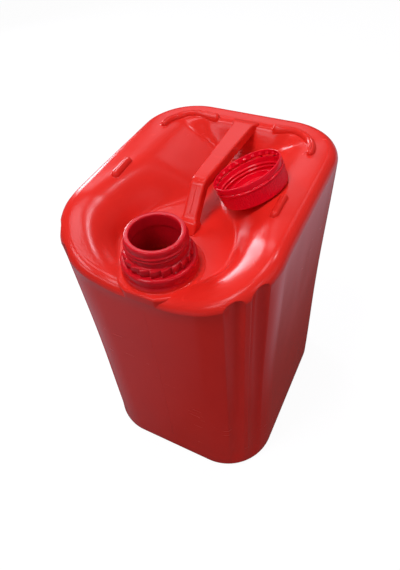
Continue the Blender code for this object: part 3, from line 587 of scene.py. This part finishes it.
def cap_grid():
    """A profile of (r, z) turned round the cap's axis, with r changed by angle.

    On the skirt the ribs add |sin|^0.7 - 0.6 of their depth to it, and inside the thread takes from it.
    """
    angle = np.arange(RIBS * 5) / (RIBS * 5) * 2 * math.pi
    skirt = CAP_HIGH - BAND_HIGH - BAND_SLIT
    outer, inner = CAP_OUT + CAP_FLARE, CAP_OUT + CAP_FLARE - CAP_WALL
    flare_shares = (0.08, 0.16, 0.3, 0.5, 0.7, 0.88, 1.0)
    outside = np.vstack([
        # The disc's underside and the rounding to the skirt
        [(0.0020, 0.0), (0.0150, 0.0), (0.0240, 0.0), (0.0264, 0.00003)],
        arc((CAP_OUT - CAP_EDGE, CAP_EDGE), CAP_EDGE, -80, 0, 7),
        # The skirt, which flares a little, and its edge over the slit
        [(CAP_OUT + CAP_FLARE * s, CAP_EDGE + (skirt - 0.0030) * s) for s in flare_shares],
        [(outer + 0.0004, skirt - 0.0012), (outer + 0.00042, skirt - 0.0006)],
        [(outer + 0.0001, skirt - 0.0001), (outer - 0.0004, skirt)],
        [(inner + 0.0004, skirt), (inner + 0.0001, skirt - 0.0002)],
    ])
    wall_share = np.linspace(0, 1, 40)
    wall_z = np.linspace(skirt - 0.0008, CAP_DISC + 0.0022, 40)
    wall = np.column_stack([inner - CAP_FLARE * wall_share, wall_z])
    plug_top = CAP_DISC + PLUG_HIGH
    inside = np.vstack([
        # The corner between the skirt and the disc
        [(inner - CAP_FLARE - 0.0003, CAP_DISC + 0.0008), (inner - CAP_FLARE - 0.0012, CAP_DISC)],
        [(0.0215, CAP_DISC), (PLUG_OUT + 0.0006, CAP_DISC)],
        # The plug, up outside and down inside
        [(PLUG_OUT, CAP_DISC + 0.0006), (PLUG_OUT + 0.0001, CAP_DISC + 0.0035)],
        [(PLUG_OUT, CAP_DISC + 0.0046), (PLUG_OUT - 0.0003, plug_top - 0.0002)],
        [(PLUG_OUT - 0.0006, plug_top), (PLUG_IN + 0.0002, plug_top - 0.0002), (PLUG_IN, CAP_DISC + 0.0048)],
        [(PLUG_IN, CAP_DISC + 0.0008), (PLUG_IN - 0.0005, CAP_DISC + 0.0001)],
        # The disc, with a low step and the stub of the gate in its middle
        [(0.0160, CAP_DISC), (0.0085, CAP_DISC), (0.0080, CAP_DISC + 0.00025), (0.0074, CAP_DISC + 0.00025)],
        [(0.0070, CAP_DISC), (0.0022, CAP_DISC), (0.0017, CAP_DISC + 0.0005), (0.0010, CAP_DISC + 0.0007)],
    ])
    profile = np.vstack([outside, wall, inside])
    radius, z = profile[:, :1], profile[:, 1:]
    row = np.arange(len(profile))[:, None]
    is_outside = row < len(outside)
    on_wall = (row >= len(outside)) & (row < len(outside) + len(wall))
    ribbed = ease(z, 0.0012, 0.0022) * ease(skirt - z, 0.0014, 0.0020) * is_outside
    radius = radius + RIB_DEPTH * (np.abs(np.sin(angle * RIBS / 2)) ** 0.7 - 0.6) * ribbed
    thread = helix(np.degrees(angle)[None], z, CAP_THREAD_FOOT, CAP_THREAD_HALF)
    radius = radius - THREAD_RISE * thread * on_wall
    return seated(radius, angle[None], z)


cap_tips = seated(0.0, 0.0, 0.0), seated(0.0, 0.0, CAP_DISC + 0.0008)
cap = closed_skin("cap_visual", cap_grid(), start=cap_tips[0], end=cap_tips[1])
cap.data.materials.append(cap_plastic)
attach(cap, "cap")
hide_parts("screw_cap")

# The tamper band is the thin ring above the slit, moulded with the cap. Twelve bridges still tie it to the
# skirt, and a row of small hooks inside it once held it under the collar of teeth on the neck.
BAND_OUT, BAND_IN, HOOKS, HOOK_DEEP, BRIDGES = 0.0295, 0.0283, 24, 0.0015, 12


def band_grid():
    """A closed profile turned round the cap's axis: rows of r, z, a share of a hook and a share of a bridge.

    A hook stands inwards where a wave round the band is high, and a bridge reaches down where another is.
    """
    angle = np.arange(528) / 528 * 2 * math.pi
    low = CAP_HIGH - BAND_HIGH
    profile = np.array([
        (BAND_OUT - 0.0005, low, 0, 1.0),
        (BAND_OUT - 0.0001, low + 0.0003, 0, 0.3),
        (BAND_OUT, low + 0.0010, 0, 0),
        (BAND_OUT, low + 0.0025, 0, 0),
        (BAND_OUT, CAP_HIGH - 0.0010, 0, 0),
        (BAND_OUT - 0.0002, CAP_HIGH - 0.0003, 0, 0),
        (BAND_OUT - 0.00055, CAP_HIGH, 0, 0),
        (BAND_IN + 0.0003, CAP_HIGH, 0, 0),
        (BAND_IN + 0.0001, CAP_HIGH - 0.0003, 0, 0),
        (BAND_IN, CAP_HIGH - 0.0008, 0, 0),
        (BAND_IN, low + 0.0036, 0.05, 0),
        (BAND_IN, low + 0.0029, 0.35, 0),
        (BAND_IN, low + 0.0024, 0.75, 0),
        (BAND_IN, low + 0.0018, 1.0, 0),
        (BAND_IN, low + 0.0012, 0.85, 0),
        (BAND_IN, low + 0.0008, 0.2, 0),
        (BAND_IN, low + 0.0003, 0, 0.3),
        (BAND_IN + 0.0003, low, 0, 1.0),
    ])
    radius, z, hook_share, bridge_share = np.hsplit(profile, 4)
    hook = ease(np.cos(angle * HOOKS), 0.10, 0.45)[None]
    bridge = ease(np.cos(angle * BRIDGES), 0.90, 0.95)[None]
    radius = radius - HOOK_DEEP * hook_share * hook
    z = z - (BAND_SLIT + 0.0001) * bridge_share * bridge
    return seated(radius, angle[None], z)


band = closed_skin("band_visual", band_grid(), ring=True)
band.data.materials.append(cap_plastic)
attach(band, "cap")
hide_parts("tamper_band")

# The mould left fine seams where its halves met: down the front and rear walls, up the handle's leg, and as
# a tuft of flash on the pedestal's front edge. A thicker weld under the can shows where it pinched the tube.
SEAM_HALF, SEAM_HIGH = 0.00045, 0.00009
SEAM_FOOT, SEAM_TOP = 0.030, 0.250
FLASH_HIGH = 0.00035
WELD_HALF, WELD_HIGH = 0.085, 0.0007


def seam_grid(path, out, proud):
    """A low ridge along a path in the plane x = 0: a half wave across, and closed underneath."""
    across = np.array([-1.0, -0.6, -0.3, 0.0, 0.3, 0.6, 1.0, 0.5, -0.5]) * SEAM_HALF
    lift = np.array([-0.4, 0.35, 0.85, 1.0, 0.85, 0.35, -0.4, -2.0, -2.0])
    rise = lift[None] * proud[:, None]
    x = np.broadcast_to(across, rise.shape)
    return np.stack([x, path[:, :1] + out[:, :1] * rise, path[:, 1:] + out[:, 1:] * rise], -1)


def seam(name, path, out, proud):
    """A seam of the can, along a path of (y, z) on its skin, which stands out of it by proud."""
    tips = [(0.0, *(path[i] - out[i] * proud[i] * 0.5)) for i in (0, -1)]
    part_of_can(closed_skin(name, seam_grid(path, out, proud), start=tips[0], end=tips[1]))


# On the walls a seam stays within the waist, so that it never stands out past the can's box
wall_z = np.linspace(SEAM_FOOT, SEAM_TOP, 80)
proud = np.minimum(SEAM_HIGH, 0.8 * drawn_in(wall_z))
for name, sign, step in (("front_seam", 1, FRONT_STEP), ("rear_seam", -1, 0.0)):
    line = np.column_stack([-sign * (CAN_DEPTH / 2 - drawn_in(wall_z) - step), wall_z])
    away = np.column_stack([np.full(80, -float(sign)), np.zeros(80)])
    order = slice(None, None, sign)
    seam(name, line[order], away[order], proud[order])

# Up the leg a seam starts clear of the deck and runs out at the bend
along = headings(middle_line)
away = np.column_stack([-along[:, 1], along[:, 0]])
leg_end = LEG_TOP_Y + 0.004
on_leg = (middle_line[:, 1] - BAR_HALF > DECK_Z + 0.003) & (middle_line[:, 0] < leg_end)
proud = 1.6 * SEAM_HIGH * ease(leg_end - middle_line[on_leg, 0], -0.002, 0.006)
seam("handle_seam", (middle_line + away * BAR_HALF)[on_leg], away[on_leg], proud)

# The tuft of flash follows the pedestal's rounded edge, and swells in its middle
turns = np.radians(np.linspace(5, 100, 14))
away = np.column_stack([-np.cos(turns), np.sin(turns)])
front = CAN_DEPTH / 2 - drawn_in(PEDESTAL_Z - 0.003) + PEDESTAL_PROUD
edge = np.array([-(front - PEDESTAL_EDGE), PEDESTAL_Z - PEDESTAL_EDGE])
seam("pedestal_flash", edge + PEDESTAL_EDGE * away, away, FLASH_HIGH * np.sin(np.linspace(0.3, 2.8, 14)))

# The weld runs along the sunk underside and thins out at its ends
under = np.column_stack([np.linspace(WELD_HALF, -WELD_HALF, 40), np.full(40, BASE_RISE)])
swell = np.sin(np.linspace(0.1, math.pi - 0.1, 40)) ** 0.3
seam("pinch_off", under, np.tile([0.0, -1.0], (40, 1)), WELD_HIGH * swell)

# A matt pale floor that keeps the can's shadow, and that the camera sees lifted towards white. In the gloss
# it
# glows as a painted reflection: dim red round the can, and lavender to the left and, on the right, towards
# the rear.
FLOOR_HALF = 3.0
floor_mesh = bpy.data.meshes.new("floor")
floor_corners = [(FLOOR_HALF * x, FLOOR_HALF * y, 0) for x, y in ((-1, -1), (1, -1), (1, 1), (-1, 1))]
floor_mesh.from_pydata(floor_corners, [], [(0, 1, 2, 3)])
floor = bpy.data.objects.new("floor", floor_mesh)
bpy.context.scene.collection.objects.link(floor)
pale = bpy.data.materials.new("pale_floor")
pale.use_nodes = True
pale.node_tree.nodes.clear()
start = Value(pale.node_tree)
matt = start.node("BsdfDiffuse", {}, {"Color": (0.33, 0.31, 0.33, 1.0)})
white = start.node("Emission", {}, {"Color": (1.0, 1.0, 1.0, 1.0), "Strength": 1.22})
seen = start.node("LightPath", out="Is Camera Ray") * 0.78
lifted = start.node("MixShader", {}, {0: seen, 1: matt, 2: white})
place = start.node("TexCoord", out="Object")
aside = start.node("SeparateXYZ", {}, {"Vector": place}, out="X")
behind = start.node("SeparateXYZ", {}, {"Vector": place}, out="Y")
to_left = (0.0 - aside).above(0.0, 0.22) * 0.34
to_right = aside.above(0.135, 0.185) * (0.10 + behind.above(-0.04, 0.12) * 0.45)
# Painted reflection for glossy rays only: the floor glows dim red near the can and lavender further out
dim_red = start.node("Emission", {}, {"Color": (1.0, 0.40, 0.28, 1.0), "Strength": 0.07})
lavender = start.node("Emission", {}, {"Color": (0.88, 0.84, 1.0, 1.0), "Strength": 1.0})
painted_reflection = start.node("MixShader", {}, {0: 0.03 + to_left + to_right, 1: dim_red, 2: lavender})
mirrored = start.node("LightPath", out="Is Glossy Ray") * 0.96
start.node("OutputMaterial", {}, {"Surface": start.node("MixShader", {}, {0: mirrored, 1: lifted, 2: painted_reflection})})
floor_mesh.materials.append(pale)

# Light: a strong soft lamp high in front on the left, cool ones round the can that each show as a sheen or
# a window in the plastic's gloss, a broad fill from the right, and a weak sky that the camera sees as white.
LAMP_AIM = np.array([0.0, -0.02, 0.27])
COOL, WARM = (0.86, 0.90, 1.0), (1.0, 0.98, 0.94)
world = bpy.data.worlds.new("sky")
world.use_nodes = True
world.node_tree.nodes.clear()
air = Value(world.node_tree)
haze = 0.13 + air.node("LightPath", out="Is Camera Ray") * 0.90
backdrop = air.node("Background", {}, {"Color": (1.0, 0.98, 0.97, 1.0), "Strength": haze})
air.node("OutputWorld", {}, {"Surface": backdrop})
bpy.context.scene.world = world


def placed(right, up, back, place):
    """The matrix of a lamp or camera at a place, whose own x, y and z point right, up and back."""
    return Matrix(np.vstack([np.column_stack([right, up, back, place]), [0, 0, 0, 1]]).tolist())


def lamp(name, bearing, height, distance, power, width, tall, colour=COOL):
    """A soft rectangular lamp aimed at the deck, at a bearing and height in degrees seen from there."""
    turn, rise = math.radians(bearing), math.radians(height)
    back = np.array([math.cos(turn) * math.cos(rise), math.sin(turn) * math.cos(rise), math.sin(rise)])
    across = np.cross([0, 0, 1], back)
    across /= np.linalg.norm(across)
    light = bpy.data.lights.new(name, "AREA")
    light.shape = "RECTANGLE"
    light.size, light.size_y = width, tall
    light.energy = power
    light.color = colour
    box = bpy.data.objects.new(name, light)
    box.matrix_world = placed(across, np.cross(back, across), back, LAMP_AIM + back * distance)
    bpy.context.scene.collection.objects.link(box)
    return box


# Each with its bearing and height in degrees, distance in metres, power in watts, and width and height
high = lamp("high_lamp", 240, 70, 1.6, 11.8, 0.30, 0.30, WARM)
high.visible_glossy = False
lamp("sky_lamp", 241, 57, 1.6, 4.5, 0.45, 0.45)
lamp("top_lamp", 150, 82, 1.6, 3.6, 0.50, 0.50)
lamp("window_lamp", 147, 20, 1.3, 8.4, 0.25, 0.86)
lamp("rear_lamp", 131, 46, 1.6, 1.1, 0.32, 0.32)
lamp("side_lamp", 80, 40, 1.4, 0.35, 0.30, 0.30)
lamp("rim_lamp", 112, 31, 1.5, 0.7, 0.55, 0.34)
lamp("edge_lamp", 54, 67, 1.5, 2.6, 0.20, 0.16)
lamp("glint_lamp", -36, 41, 2.0, 1.6, 0.30, 0.30)
lamp("front_lamp", -108, 36, 1.6, 2.2, 0.60, 0.30)
fill = lamp("right_lamp", -2, 26, 2.0, 8.0, 1.0, 1.0)
fill.visible_glossy = False

# The photograph's viewpoint: above the right front corner, looking down, with the camera turned a little.
# Its place, its turns and its lens were fitted to the can's outline, rims and neck in the photograph.
CAMERA_PLACE = (0.157073, -0.288458, 0.527212)
BEARING, DOWN, ROLL = math.radians(30.5831), math.radians(47.8537), math.radians(-5.6227)
SENSOR, LENS = 36.0, 29.6745
back = np.array([math.sin(BEARING) * math.cos(DOWN), -math.cos(BEARING) * math.cos(DOWN), math.sin(DOWN)])
level = np.cross([0, 0, 1], back)
level /= np.linalg.norm(level)
upright = np.cross(back, level)
right = math.cos(ROLL) * level + math.sin(ROLL) * upright
up = math.cos(ROLL) * upright - math.sin(ROLL) * level
camera_data = bpy.data.cameras.new("camera")
camera_data.sensor_width = SENSOR
camera_data.lens = LENS
camera = bpy.data.objects.new("camera", camera_data)
camera.matrix_world = placed(right, up, back, CAMERA_PLACE)
bpy.context.scene.collection.objects.link(camera)
bpy.context.scene.camera = camera
bpy.context.scene.view_settings.view_transform = "Standard"
